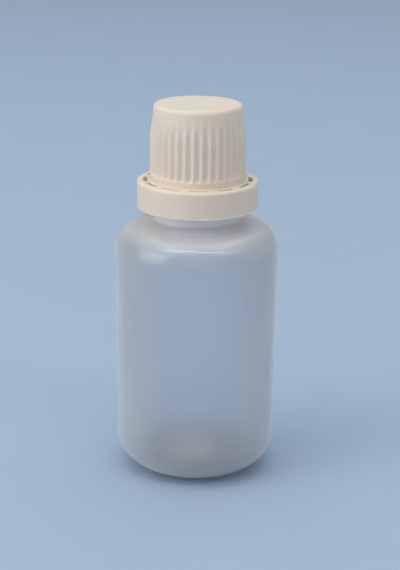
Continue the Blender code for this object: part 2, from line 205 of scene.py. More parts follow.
def turned_shell(name, radius, height, angle, poles=None):
    """A closed surface round the Z axis.

    Point (i, j) lies at radius[i, j] from the axis, at height[i, j], in the direction angle[j]. With poles,
    the first and last rows close on points on the axis at those two heights. Without, the last row joins the
    first.
    """
    radius, height, angle = np.broadcast_arrays(radius, height, angle[None, :])
    rows, columns = radius.shape
    x, y = radius * np.cos(angle), radius * np.sin(angle)
    points = np.stack([x, y, height], axis=2).reshape(-1, 3)
    index = np.arange(rows * columns).reshape(rows, columns)
    below = np.roll(index, -1, axis=0)
    if poles is not None:
        index, below = index[:-1], below[:-1]
    beside, beside_below = np.roll(index, -1, axis=1), np.roll(below, -1, axis=1)
    faces = np.stack([index, below, beside_below, beside], axis=2).reshape(-1, 4).tolist()
    if poles is not None:
        points = np.vstack([points, [(0, 0, poles[0]), (0, 0, poles[1])]])
        first = np.arange(columns)
        last = first + (rows - 1) * columns
        first_pole = np.full(columns, rows * columns)
        last_pole = first_pole + 1
        faces += np.stack([first_pole, first, np.roll(first, -1)], axis=1).tolist()
        faces += np.stack([last, last_pole, np.roll(last, -1)], axis=1).tolist()
    mesh = bpy.data.meshes.new(name)
    mesh.from_pydata(points, [], faces)
    mesh.shade_smooth()
    piece = bpy.data.objects.new(name, mesh)
    bpy.context.scene.collection.objects.link(piece)
    return piece


def thread_ridge(height, angle, low, turns, foot, crest, fade=0.08):
    """How far a right-handed ridge stands out, from 0 to 1.

    The ridge's middle climbs one PITCH a turn from low, between its first and last turns. Across it, the
    section goes from foot to crest width by a smooth step, and its two ends fade out over a share of a turn.
    """
    first, last = turns
    lift = np.zeros(np.broadcast(height, angle).shape)
    for lap in range(math.floor(first), math.ceil(last) + 1):
        turn = (angle % (2 * math.pi)) / (2 * math.pi) + lap
        across = np.abs(height - low - PITCH * turn)
        section = smooth_step(foot / 2 - across, 0, (foot - crest) / 2)
        ends = smooth_step(turn, first, first + fade) * (1 - smooth_step(turn, last - fade, last))
        lift = np.maximum(lift, section * ends)
    return lift


def marked(parts, part):
    """True on the rows of one of the parts that a section is stacked from, and False on the others."""
    return np.concatenate([np.full(len(other), other is part) for other in parts])[:, None]


def body_side(height):
    """The side's outer radius: a quadratic through its radii low down, halfway and under the shoulder."""
    u = (height - CORNER_HEIGHT) / SIDE_HEIGHT
    low = BODY_DRAW_LOW * (1 - u) * (1 - 2 * u)
    return BODY_RADIUS - low - 4 * BODY_DRAW_MIDDLE * u * (1 - u)


def wall_waves(height, angle):
    """The slight unevenness of blown plastic, from -1 to 1: three crossing waves round and up the body."""
    wide = np.cos(2 * angle + 0.7) * np.cos(90 * height + 0.4)
    slanting = np.cos(7 * angle + 260 * height + 1.3)
    small = np.cos(17 * angle - 1.1) * np.cos(520 * height + 2.0)
    return 0.4 * wide + 0.35 * slanting + 0.25 * small


def bottle_wall():
    """The wall's section: from the middle of the floor up the inside, over the lip and down to the base.

    Returns the radii, the heights, and the rows of the body's outside, where the parting line shows.
    """
    foot_radius = BODY_RADIUS - BODY_DRAW_LOW - CORNER_WIDTH
    shoulder_radius = BODY_RADIUS - SHOULDER_WIDTH
    side = np.linspace(CORNER_HEIGHT, SHOULDER, SIDE_ROWS)[1:-1]
    floor = rounded([
        (POLE_RADIUS, PUSH_UP + WALL, 0),
        (DISH_RADIUS, PUSH_UP + WALL - DISH_DROP, FLOOR_FILLET),
        (foot_radius, WALL, 0),
    ], step=0.0008)[:-1]
    inner_corner = elliptic(foot_radius, CORNER_HEIGHT, CORNER_WIDTH - WALL, CORNER_HEIGHT - WALL,
                            start=-90, end=0, count=18)
    inner_side = np.column_stack([body_side(side[::2]) - WALL, side[::2]])
    inner_shoulder = elliptic(shoulder_radius, SHOULDER, SHOULDER_WIDTH - WALL, SHOULDER_HEIGHT - WALL,
                              start=0, end=SHOULDER_END, count=14)
    bore_and_lip = rounded([
        (NECK_ROOT_RADIUS, NECK_FOOT - SHOULDER_WALL, 0),
        (BORE_RADIUS, NECK_FOOT, BORE_FILLET),
        (BORE_RADIUS, LIP, SHARP_FILLET),
        (NECK_RADIUS, LIP, NECK_FILLET),
        (NECK_RADIUS, LIP_EDGE, 0),
    ], step=0.0006)
    finish = rounded([
        (NECK_RADIUS, LIP_EDGE - ROW_GAP, 0),
        (NECK_RADIUS, BEAD_TOP, NECK_FILLET),
        (BEAD_RADIUS, BEAD_HIGH, BEAD_FILLET),
        (BEAD_RADIUS, BEAD_LOW, SHARP_FILLET),
        (NECK_ROOT_RADIUS, BEAD_LOW, NECK_FILLET),
        (NECK_ROOT_RADIUS, NECK_FOOT, ROOT_FILLET),
        (shoulder_radius, SHOULDER + SHOULDER_HEIGHT, 0),
    ], step=0.00015)
    finish = finish[finish[:, 0] < NECK_ROOT_RADIUS + ROOT_REACH]
    shoulder = elliptic(shoulder_radius, SHOULDER, SHOULDER_WIDTH, SHOULDER_HEIGHT,
                        start=SHOULDER_END, end=0, count=30)
    corner = elliptic(foot_radius, CORNER_HEIGHT, CORNER_WIDTH, CORNER_HEIGHT, start=0, end=-90, count=34)
    base = rounded([
        (foot_radius - 3 * ROW_GAP, 0, 0),
        (PUSH_UP_RADIUS, 0, FOOT_FILLET),
        (PUSH_UP_RADIUS - PUSH_UP_STEP, PUSH_UP_STEP, PUSH_UP_FILLET),
        (DISH_RADIUS, PUSH_UP - DISH_DROP, DISH_FILLET),
        (POLE_RADIUS, PUSH_UP, 0),
    ], step=0.0005)
    inside = np.vstack([floor, inner_corner, inner_side, inner_shoulder, bore_and_lip])
    body = np.vstack([shoulder, np.column_stack([body_side(side[::-1]), side[::-1]]), corner])
    parts = (inside, finish, body, base)
    section = np.vstack(parts)
    return section[:, :1], section[:, 1:], marked(parts, body)


def finish_material(name):
    """A node material with its Principled shader and the Object coordinates that all its patterns read."""
    material = bpy.data.materials.new(name)
    material.use_nodes = True
    tree = material.node_tree
    place = tree.nodes.new("ShaderNodeTexCoord").outputs["Object"]
    return material, tree, tree.nodes["Principled BSDF"], place


def noise(tree, place, scale, detail=3.0, stretch=(1, 1, 1), distortion=0.0):
    """A noise pattern of scale grains a metre, with the place scaled by stretch first."""
    mapping = tree.nodes.new("ShaderNodeMapping")
    mapping.inputs["Scale"].default_value = stretch
    texture = tree.nodes.new("ShaderNodeTexNoise")
    texture.inputs["Scale"].default_value = scale
    texture.inputs["Detail"].default_value = detail
    texture.inputs["Distortion"].default_value = distortion
    tree.links.new(place, mapping.inputs["Vector"])
    tree.links.new(mapping.outputs["Vector"], texture.inputs["Vector"])
    return texture.outputs["Fac"]


def ramped(tree, value, low, high, start, end):
    """The value taken from the range low to high into the range start to end, which may be colours."""
    if isinstance(start, tuple):
        node = tree.nodes.new("ShaderNodeValToRGB")
        node.color_ramp.elements[0].position, node.color_ramp.elements[1].position = low, high
        node.color_ramp.elements[0].color = (*start, 1)
        node.color_ramp.elements[1].color = (*end, 1)
        tree.links.new(value, node.inputs["Fac"])
        return node.outputs["Color"]
    node = tree.nodes.new("ShaderNodeMapRange")
    for socket, number in zip(("From Min", "From Max", "To Min", "To Max"), (low, high, start, end)):
        node.inputs[socket].default_value = number
    tree.links.new(value, node.inputs["Value"])
    return node.outputs["Result"]


def bumped(tree, value, depth, under=None):
    """A bump as deep as depth where the value goes from 0 to 1, laid over another bump if one is given."""
    node = tree.nodes.new("ShaderNodeBump")
    node.inputs["Strength"].default_value = 1.0
    node.inputs["Distance"].default_value = depth
    tree.links.new(value, node.inputs["Height"])
    if under is not None:
        tree.links.new(under, node.inputs["Normal"])
    return node.outputs["Normal"]


def combined(tree, operation, first, second):
    """The result of one Math node on two values."""
    node = tree.nodes.new("ShaderNodeMath")
    node.operation = operation
    tree.links.new(first, node.inputs[0])
    tree.links.new(second, node.inputs[1])
    return node.outputs["Value"]


def mixed(tree, share, first, second):
    """The mix of two colours, either of them given or from a node, where a share of 1 is the second.

    The Mix node's colours are its inputs 6 and 7 and its output 2.
    """
    node = tree.nodes.new("ShaderNodeMix")
    node.data_type = "RGBA"
    tree.links.new(share, node.inputs["Factor"])
    for socket, colour in ((node.inputs[6], first), (node.inputs[7], second)):
        if isinstance(colour, tuple):
            socket.default_value = (*colour, 1)
        else:
            tree.links.new(colour, socket)
    return node.outputs[2]


def natural_polyethylene(name, thin, thick, clear, milky, low, high):
    """Milky, see-through plastic with soft clouds, upright streaks and a faint orange peel.

    A blown wall is thickest where it was drawn out least. So its colour goes from thin to thick, and the
    light that it lets through from clear to milky, from the height low up to high and again down into the
    base's corner. Painted shade also turns the side's colour a little towards the thick colour on the way up
    to the shoulder. It is milky too where it is seen edge-on. No light passes straight through what stands
    above the shoulder, or through the pinch in the middle of the base, whose pale warm colour is a painted
    glow.
    """
    material, tree, shader, place = finish_material(name)
    split = tree.nodes.new("ShaderNodeSeparateXYZ")
    tree.links.new(place, split.inputs["Vector"])
    streaks = noise(tree, place, scale=420, detail=4, stretch=(1, 1, 0.12), distortion=0.3)
    clouds = ramped(tree, noise(tree, place, scale=90), 0.35, 0.65, -CLOUD_REACH, CLOUD_REACH)
    upper = ramped(tree, combined(tree, "ADD", split.outputs["Z"], clouds), low, high, 0.0, 1.0)
    # Painted shade: from low on the side up to the shoulder, the colour turns up to a quarter of the way to
    # the thick colour.
    painted_side_shade = ramped(tree, split.outputs["Z"], SIDE_SHADE_LOW, low, 0.0, SIDE_SHADE_SHARE)
    corner = ramped(tree, split.outputs["Z"], BASE_CORNER_HIGH, BASE_CORNER_LOW, 0.0, BASE_CORNER_SHARE)
    from_base = tree.nodes.new("ShaderNodeVectorMath")
    from_base.operation = "DISTANCE"
    from_base.inputs[1].default_value = PINCHED_MIDDLE
    tree.links.new(place, from_base.inputs[0])
    pinch_and_glow = ramped(tree, from_base.outputs["Value"], PINCHED_OUTER, PINCHED_INNER, 0.0, 1.0)
    ends = combined(tree, "MAXIMUM", upper, corner)
    wall = mixed(tree, combined(tree, "MAXIMUM", ends, painted_side_shade), thin, thick)
    # Painted glow: the middle of the base takes a pale warm colour.
    tree.links.new(mixed(tree, pinch_and_glow, wall, BASE_GLOW_COLOUR), shader.inputs["Base Color"])
    glancing = tree.nodes.new("ShaderNodeLayerWeight").outputs["Facing"]
    through_edge = ramped(tree, glancing, EDGE_START, 1.0, 0.0, 1.0)
    milkiness = combined(tree, "MAXIMUM", ends, through_edge)
    clearness = ramped(tree, milkiness, 0.0, 1.0, clear, milky)
    through_pinch = ramped(tree, pinch_and_glow, 0.0, 1.0, clear, PINCHED_CLEARNESS)
    through_neck = ramped(tree, split.outputs["Z"], NECK_THICK_LOW, NECK_THICK_HIGH, clear, NECK_CLEARNESS)
    clearness = combined(tree, "MINIMUM", clearness, through_pinch)
    clearness = combined(tree, "MINIMUM", clearness, through_neck)
    tree.links.new(clearness, shader.inputs["Transmission Weight"])
    satin = ramped(tree, streaks, 0.3, 0.7, start=0.34, end=0.40)
    tree.links.new(satin, shader.inputs["Roughness"])
    peel = bumped(tree, noise(tree, place, scale=1600, detail=2), PEEL_DEPTH)
    tree.links.new(bumped(tree, streaks, STREAK_DEPTH, peel), shader.inputs["Normal"])
    dimples = noise(tree, place, scale=400, detail=1, stretch=(0.5, 0.5, 1.5))
    tree.links.new(bumped(tree, dimples, DIMPLE_DEPTH), shader.inputs["Coat Normal"])
    shader.inputs["IOR"].default_value = 1.5
    shader.inputs["Specular IOR Level"].default_value = 0.25
    shader.inputs["Coat Weight"].default_value = 1.0
    shader.inputs["Coat Roughness"].default_value = 0.08
    tree.links.new(ramped(tree, pinch_and_glow, 0.0, 1.0, 1.0, 0.0), shader.inputs["Subsurface Weight"])
    shader.inputs["Subsurface Radius"].default_value = (1.0, 1.0, 1.0)
    shader.inputs["Subsurface Scale"].default_value = 0.0015
    shader.inputs["Sheen Weight"].default_value = 0.4
    shader.inputs["Sheen Roughness"].default_value = 0.4
    return material


parting = np.radians([PARTING_ANGLE - 90, PARTING_ANGLE + 90])
near_parting = np.radians(np.arange(-PARTING_REACH, PARTING_REACH + PARTING_COLUMN / 2, PARTING_COLUMN))
columns = [np.radians(np.arange(-180, 180, BODY_COLUMN)), *(near_parting + side for side in parting)]
columns = np.unique(np.round(np.concatenate(columns), 6))
wall_radius, wall_height, outside = bottle_wall()
from_parting = np.abs((columns[None, :] - parting[0] + math.pi / 2) % math.pi - math.pi / 2)
parting_line = np.exp(-((from_parting * wall_radius / PARTING_WIDTH) ** 2))
on_neck = (wall_height > BEAD_TOP) & (wall_radius > NECK_RADIUS - TOUCHING)
neck_turns = (0, NECK_THREAD_TURNS)
ridge = thread_ridge(wall_height, columns[None, :], NECK_THREAD_LOW, neck_turns, THREAD_FOOT, THREAD_CREST)
waved = (wall_height < BEAD_LOW) * smooth_step(wall_radius, WAVES_START, WAVES_FULL)
waves = wall_waves(wall_height, columns[None, :]) * waved
shell_radius = wall_radius + NECK_THREAD_DEPTH * ridge * on_neck + PARTING_HEIGHT * parting_line * outside
shell_radius = shell_radius + WAVE_DEPTH * waves
under_base = (wall_height < PUSH_UP + TOUCHING) & ~outside & (wall_radius < PUSH_UP_RADIUS)
across_pinch = np.abs(wall_radius * np.sin(from_parting))
along_pinch = np.abs(wall_radius * np.cos(from_parting))
pinch = np.exp(-((across_pinch / PINCH_WIDTH) ** 2))
pinch = pinch * (1 - smooth_step(along_pinch, PINCH_FULL, PINCH_LENGTH))
shell_height = wall_height - PINCH_HEIGHT * pinch * under_base
bottle_poles = (PUSH_UP + WALL, PUSH_UP - PINCH_HEIGHT)
bottle = turned_shell("bottle_shell", shell_radius, shell_height, columns, bottle_poles)
wall_plastic = natural_polyethylene("natural_polyethylene", WALL_THIN_COLOUR, WALL_THICK_COLOUR,
                                    WALL_CLEAR, WALL_MILKY, THICK_LOW, THICK_HIGH)
bottle.data.materials.append(wall_plastic)
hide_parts("bottle")
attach(bottle, "bottle")


# Dropper plug
# The plug is injection-moulded in the same natural polyethylene and pressed into the neck, so that its
# flange sits on the lip. Its nozzle has a fine drilled hole that lets one drop out at a time.

plug_low, plug_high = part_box("dropper_plug")

# The flange and the skirt, which keep a small gap from the neck.
PLUG_GAP = 0.0003
FLANGE_RADIUS = plug_high.x
FLANGE_LOW = LIP + PLUG_GAP
FLANGE_TOP = FLANGE_LOW + 0.0010
SKIRT_RADIUS = BORE_RADIUS - PLUG_GAP
SKIRT_BORE = SKIRT_RADIUS - 0.0010
SKIRT_LOW = plug_low.z
SKIRT_CEILING = FLANGE_LOW - 0.0010
SKIRT_TAPER_WIDTH = 0.0002
SKIRT_TAPER_HEIGHT = 0.0008

# The nozzle: a cone, a tip and the drilled hole.
CONE_FOOT_RADIUS = 0.0040
CONE_FOOT_FILLET = 0.0008
CONE_RADIUS = 0.0026
CONE_HEIGHT = 0.0008
CONE_FILLET = 0.0010
CONE_BORE_FOOT = 0.0034
CONE_BORE_TOP = 0.0024
NOZZLE_TOP = plug_high.z
TIP_FOOT = NOZZLE_TOP - 0.0016
TIP_FOOT_RADIUS = 0.0017
TIP_FOOT_FILLET = 0.0006
TIP_RADIUS = 0.0014
TIP_FILLET = 0.0003
ORIFICE = 0.0006
ORIFICE_FLARE = 0.0002
ORIFICE_RIM = NOZZLE_TOP - 0.0001
ORIFICE_HIGH = NOZZLE_TOP - 0.0003
ORIFICE_LOW = NOZZLE_TOP - 0.0008
THROAT = TIP_FOOT - 0.0010
PLUG_SOFT_FILLET = 0.0004
PLUG_FILLET = 0.0002
PLUG_SHARP_FILLET = 0.0001

# The grid's columns and the plastic, which is as milky as the neck.
SMALL_COLUMN = 3.0
PLUG_COLOUR = (0.86, 0.88, 0.89)
PLUG_CLEARNESS = 0.0


def plug_section():
    """The plug's closed section: the nozzle, the flange, the skirt and the way up through them."""
    section = rounded([
        (ORIFICE + ORIFICE_FLARE, ORIFICE_RIM, 0),
        (TIP_RADIUS, NOZZLE_TOP, TIP_FILLET),
        (TIP_FOOT_RADIUS, TIP_FOOT, TIP_FOOT_FILLET),
        (CONE_RADIUS, FLANGE_TOP + CONE_HEIGHT, CONE_FILLET),
        (CONE_FOOT_RADIUS, FLANGE_TOP, CONE_FOOT_FILLET),
        (FLANGE_RADIUS, FLANGE_TOP, PLUG_FILLET),
        (FLANGE_RADIUS, FLANGE_LOW, PLUG_SHARP_FILLET),
        (SKIRT_RADIUS, FLANGE_LOW, PLUG_SHARP_FILLET),
        (SKIRT_RADIUS, SKIRT_LOW + SKIRT_TAPER_HEIGHT, PLUG_SOFT_FILLET),
        (SKIRT_RADIUS - SKIRT_TAPER_WIDTH, SKIRT_LOW, PLUG_FILLET),
        (SKIRT_BORE, SKIRT_LOW, PLUG_FILLET),
        (SKIRT_BORE, SKIRT_CEILING, PLUG_SOFT_FILLET),
        (CONE_BORE_FOOT, FLANGE_LOW, PLUG_SOFT_FILLET),
        (CONE_BORE_TOP, FLANGE_TOP, 0),
        (ORIFICE + ORIFICE_FLARE, THROAT, PLUG_FILLET),
        (ORIFICE, ORIFICE_LOW, PLUG_FILLET),
        (ORIFICE, ORIFICE_HIGH, PLUG_SHARP_FILLET),
        (ORIFICE + ORIFICE_FLARE, ORIFICE_RIM, 0),
    ], step=0.0004)[:-1]
    return section[:, :1], section[:, 1:]


small_columns = np.radians(np.arange(0, 360, SMALL_COLUMN))
plug = turned_shell("plug_shell", *plug_section(), small_columns)
plug_plastic = natural_polyethylene("plug_polyethylene", PLUG_COLOUR, PLUG_COLOUR,
                                    PLUG_CLEARNESS, PLUG_CLEARNESS, LIP, NOZZLE_TOP)
plug.data.materials.append(plug_plastic)
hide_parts("dropper_plug")
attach(plug, "bottle")


# Seal disc
# The disc is punched from white closed-cell foam and slips up into the top of the cap, where it closes the
# nozzle when the cap is screwed down.

seal_low, seal_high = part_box("seal_disc")
SEAL_RADIUS = seal_high.x
# The foam's colour, darkened by painted shade in the cells' pits, and the depth of the cells.
FOAM_PIT_SHADE = (0.84, 0.84, 0.81)
FOAM_PALE = (0.91, 0.91, 0.89)
CELL_DEPTH = 0.00003


def seal_foam(name):
    """Matt white foam, with a fine cell pattern pressed into its skin and painted shade in the cells' pits.
    """
    material, tree, shader, place = finish_material(name)
    cells = tree.nodes.new("ShaderNodeTexVoronoi")
    cells.inputs["Scale"].default_value = 5200
    tree.links.new(place, cells.inputs["Vector"])
    # Painted shade: the colour is darkest in the middle of each cell, where the bump sinks lowest.
    tint = ramped(tree, cells.outputs["Distance"], 0.0, 0.8, FOAM_PIT_SHADE, FOAM_PALE)
    tree.links.new(tint, shader.inputs["Base Color"])
    tree.links.new(bumped(tree, cells.outputs["Distance"], CELL_DEPTH), shader.inputs["Normal"])
    matt = ramped(tree, noise(tree, place, scale=900), 0.3, 0.7, start=0.65, end=0.8)
    tree.links.new(matt, shader.inputs["Roughness"])
    return material


seal_section = rounded([
    (POLE_RADIUS, seal_high.z, 0),
    (SEAL_RADIUS, seal_high.z, SHARP_FILLET),
    (SEAL_RADIUS, seal_low.z, SHARP_FILLET),
    (POLE_RADIUS, seal_low.z, 0),
], step=0.0006)
seal_poles = (seal_high.z, seal_low.z)
seal = turned_shell("seal_foam_disc", seal_section[:, :1], seal_section[:, 1:], small_columns, seal_poles)
seal.data.materials.append(seal_foam("seal_foam"))
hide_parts("seal_disc")
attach(seal, "seal")


# Cap
# The cap is injection-moulded in warm white plastic. Its grip ribs rise out of the smooth crown and run down
# to scooped ends above the plain collar, and its inner thread draws it down on the neck.

cap_low, cap_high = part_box("cap")
CAP_TOP = cap_high.z
CAP_LOW = cap_low.z

# The foot and the collar.
FOOT_RADIUS = cap_high.x
FOOT_TOP = CAP_LOW + 0.0011
COLLAR_RADIUS = FOOT_RADIUS - 0.0006
COLLAR_TOP = CAP_LOW + 0.0024
FOOT_INNER_FILLET = 0.0001
FOOT_EDGE_FILLET = 0.00008

# The ribs, the flutes between them and the crown.
RIB_DEPTH = 0.00038
RIB_COUNT = 36
RIB_ANGLE = 5.2
RIB_COLUMNS = 14
RIB_LAND = 0.12
RIB_START = CAP_TOP - 0.0030
RIB_FULL = CAP_TOP - 0.0062
FLUTE_RADIUS = COLLAR_RADIUS - RIB_DEPTH
CROWN_RADIUS = FLUTE_RADIUS - 0.00022
CROWN_FILLET_WIDTH = 0.0007
CROWN_FILLET_HEIGHT = 0.0011
SCOOP_HEIGHT = 0.0009
SCOOP_RISE = 0.00025
SCOOP_ROWS = COLLAR_TOP + 0.0014
GROOVE_DEPTH = 0.00020

# The bore with its thread, and the seat of the seal.
CAP_BORE = 0.0084
CAP_BORE_LOW = CAP_LOW + 0.0006
CAP_BORE_FILLET = 0.00025
CAP_SEAT_RADIUS = FLANGE_RADIUS + 0.0003
CAP_SEAT = FLANGE_TOP + 0.0004
CAP_SEAT_SLOPE = 0.0004
CAP_SEAT_FILLET = 0.0002
CAP_BORE_TOP = CAP_SEAT - 0.0012
CAP_CEILING = CAP_TOP - 0.0013
CAP_CEILING_FILLET = 0.0003
CAP_THREAD_DEPTH = 0.00075
CAP_THREAD_START = NECK_THREAD_LOW + PITCH / 2
CAP_THREAD_LOW = CAP_LOW + 0.00235
CAP_THREAD_HIGH = LIP - 0.0006

# The plastic.
WARM_WHITE_DARK = (0.835, 0.712, 0.590)
WARM_WHITE_PALE = (0.860, 0.737, 0.615)
MOTTLE_DEPTH = 0.00002
GRAIN_DEPTH = 0.000006
CAP_LIGHT_INSIDE = 0.1


def warm_white_plastic(name, light_inside):
    """Satin warm white: some light inside it, soft mottling and a fine moulded grain."""
    material, tree, shader, place = finish_material(name)
    mottle = noise(tree, place, scale=260)
    tint = ramped(tree, mottle, 0.35, 0.65, WARM_WHITE_DARK, WARM_WHITE_PALE)
    tree.links.new(tint, shader.inputs["Base Color"])
    satin = ramped(tree, noise(tree, place, scale=700), 0.3, 0.7, start=0.40, end=0.52)
    tree.links.new(satin, shader.inputs["Roughness"])
    grain = bumped(tree, noise(tree, place, scale=6000, detail=2), GRAIN_DEPTH)
    tree.links.new(bumped(tree, mottle, MOTTLE_DEPTH, grain), shader.inputs["Normal"])
    shader.inputs["Subsurface Weight"].default_value = light_inside
    shader.inputs["Subsurface Radius"].default_value = (1.0, 0.85, 0.7)
    shader.inputs["Subsurface Scale"].default_value = 0.0012
    return material


def flute_depth(height, angle):
    """How deep the flutes between the ribs are pressed in at a height and angle.

    Across a flute the depth goes as u(1.5 - 0.5u), where u is 0 at a narrow land and 1 in the middle. Along
    it, a groove deepens in a straight line down to where the ribs are full, and the rib's own ramp adds to
    it. The flute ends in a scoop shaped like a quarter circle above the collar.
    """
    half_pitch = math.pi / RIB_COUNT
    first = math.radians(RIB_ANGLE - 90)
    from_crest = np.abs((angle - first + half_pitch) % (2 * half_pitch) - half_pitch)
    u = np.clip((from_crest / half_pitch - RIB_LAND) / (1 - RIB_LAND), 0, 1)
    arch = u * (1.5 - 0.5 * u)
    scoop_low = COLLAR_TOP + SCOOP_RISE * (1 - u) ** 2
    t = np.clip((height - scoop_low) / SCOOP_HEIGHT, 0, 1)
    scoop = np.sqrt(1 - (1 - t) ** 2)
    groove = np.interp(height, (RIB_FULL, CAP_TOP - CROWN_FILLET_HEIGHT), (GROOVE_DEPTH, 0))
    return arch * scoop * (np.maximum(rib_crest(height) - FLUTE_RADIUS, 0) + groove)


def rib_crest(height):
    """The crest's radius: down the tapered crown, out along a straight ramp, then straight down."""
    heights = (RIB_FULL, RIB_START, CAP_TOP - CROWN_FILLET_HEIGHT)
    return np.interp(height, heights, (COLLAR_RADIUS, FLUTE_RADIUS, CROWN_RADIUS))


def cap_section():
    """The cap's section: down the outside from the top, round the foot and up the stepped bore.

    Returns the radii, the heights, and the rows of the ribs and of the bore. The rows are closest at the
    scooped ends of the flutes and along the thread.
    """
    flat_edge = CROWN_RADIUS - CROWN_FILLET_WIDTH
    flat = np.linspace(POLE_RADIUS, flat_edge, 12)[:-1]
    fillet = elliptic(flat_edge, CAP_TOP - CROWN_FILLET_HEIGHT, CROWN_FILLET_WIDTH, CROWN_FILLET_HEIGHT,
                      start=90, end=0, count=16)
    crown = np.vstack([np.column_stack([flat, np.full(len(flat), CAP_TOP)]), fillet[:-1]])
    heights = np.concatenate([
        np.linspace(CAP_TOP - CROWN_FILLET_HEIGHT, RIB_START, 8)[:-1],
        np.linspace(RIB_START, RIB_FULL, 14)[:-1],
        np.linspace(RIB_FULL, SCOOP_ROWS, 10)[:-1],
        np.linspace(SCOOP_ROWS, COLLAR_TOP, 24),
    ])
    ribs = np.column_stack([rib_crest(heights), heights])
    foot = rounded([
        (COLLAR_RADIUS, COLLAR_TOP - 2 * ROW_GAP, 0),
        (COLLAR_RADIUS, FOOT_TOP, FOOT_INNER_FILLET),
        (FOOT_RADIUS, FOOT_TOP, FOOT_EDGE_FILLET),
        (FOOT_RADIUS, CAP_LOW, SHARP_FILLET),
        (CAP_BORE, CAP_LOW, CAP_BORE_FILLET),
        (CAP_BORE, CAP_BORE_LOW, 0),
    ], step=0.0004, turn=18)
    bore = rounded([(CAP_BORE, CAP_BORE_LOW + ROW_GAP, 0), (CAP_BORE, CAP_BORE_TOP, 0)], step=0.00018)
    seat = rounded([
        (CAP_BORE, CAP_BORE_TOP + ROW_GAP, 0),
        (CAP_BORE, CAP_SEAT - CAP_SEAT_SLOPE, CAP_SEAT_FILLET),
        (CAP_SEAT_RADIUS, CAP_SEAT, CAP_SEAT_FILLET),
        (CAP_SEAT_RADIUS, CAP_CEILING, CAP_CEILING_FILLET),
        (POLE_RADIUS, CAP_CEILING, 0),
    ], step=0.0007)
    parts = (crown, ribs, foot, bore, seat)
    section = np.vstack(parts)
    return section[:, :1], section[:, 1:], marked(parts, ribs), marked(parts, bore)


cap_column_count = RIB_COUNT * RIB_COLUMNS
cap_columns = np.radians(RIB_ANGLE - 90) + 2 * math.pi * np.arange(cap_column_count) / cap_column_count
cap_radius, cap_height, ribbed, bored = cap_section()
cap_turns = ((CAP_THREAD_LOW - CAP_THREAD_START) / PITCH, (CAP_THREAD_HIGH - CAP_THREAD_START) / PITCH)
cap_thread = thread_ridge(cap_height, cap_columns[None, :], CAP_THREAD_START, cap_turns,
                          THREAD_FOOT, THREAD_CREST)
cap_radius = cap_radius - flute_depth(cap_height, cap_columns[None, :]) * ribbed
cap_radius = cap_radius - CAP_THREAD_DEPTH * cap_thread * bored
cap = turned_shell("cap_shell", cap_radius, cap_height, cap_columns, (CAP_TOP, CAP_CEILING))
cap.data.materials.append(warm_white_plastic("cap_plastic", CAP_LIGHT_INSIDE))
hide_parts("cap")
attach(cap, "cap")


# Tamper ring
# The ring is moulded with the cap, joined to its collar by the webs between twelve slots, and breaks away
# when the cap is first unscrewed. A lip inside it holds it under the bottle's bead.

ring_low, ring_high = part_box("tamper_ring")

# The ring's outside, its web and the lip inside it.
RING_TOP = ring_high.z
RING_LOW = ring_low.z
RING_RADIUS = ring_high.x
RING_DRAFT = 0.0001
RING_FILLET = 0.00055
RING_SIDE_TOP = RING_TOP - 0.0008
RING_SIDE_LOW = RING_LOW + 0.0006
RING_EDGE_LOW = RING_LOW + 0.00012
RING_EDGE_FILLET = 0.00008
RING_BORE = 0.0110
RING_MIDDLE = RING_BORE + 0.0003
WEB_THICKNESS = 0.0008
WEB_BORE = FOOT_RADIUS + 0.00006
WEB_FILLET = 0.00005
WEB_ROOT_FILLET = 0.00004
RING_LIP_RADIUS = NECK_ROOT_RADIUS + 0.00045
RING_LIP_TOP = RING_LOW + 0.00105
RING_LIP_BEVEL = 0.0006
RING_LIP_FILLET = 0.0001
RING_LIP_ROOT_FILLET = 0.0002

# The slots.
SLOT_COUNT = 12
SLOT_WIDTH = 19.5
SLOT_ANGLE = 1.3
SLOT_CORNER = 0.8
SLOT_BORE = RING_BORE - 0.0001

# The flare of the lower edge and the nub that the gate left there.
FLARE = 0.0001
FLARE_HEIGHT = 0.0004
FLARE_LEAST = 0.15
FLARE_ANGLE = -10
FLARE_FULL = 70
FLARE_END = 95
GATE_ANGLE = 38.9
GATE_WIDTH = 0.00022
GATE_GAP = 2.2 * GATE_WIDTH
GATE_HEIGHT = 0.00016
GATE_MIDDLE = RING_LOW + 0.00025

# The grid's columns, closer at the slots' ends and at the gate, and the plastic.
RING_COLUMN = 1.25
SLOT_EDGE_REACH = 0.6 * SLOT_CORNER
GATE_REACH = 2.4
GATE_COLUMN = 0.3
RING_LIGHT_INSIDE = 0.4


def slot_share(angle):
    """1 inside a slot and 0 on the webs, with a smooth step in the distance from the slot's middle."""
    half_pitch = math.pi / SLOT_COUNT
    first = math.radians(SLOT_ANGLE - 90)
    from_middle = np.abs((angle - first + half_pitch) % (2 * half_pitch) - half_pitch)
    half, corner = math.radians(SLOT_WIDTH / 2), math.radians(SLOT_CORNER)
    return 1 - smooth_step(from_middle, half - corner / 2, half + corner / 2)


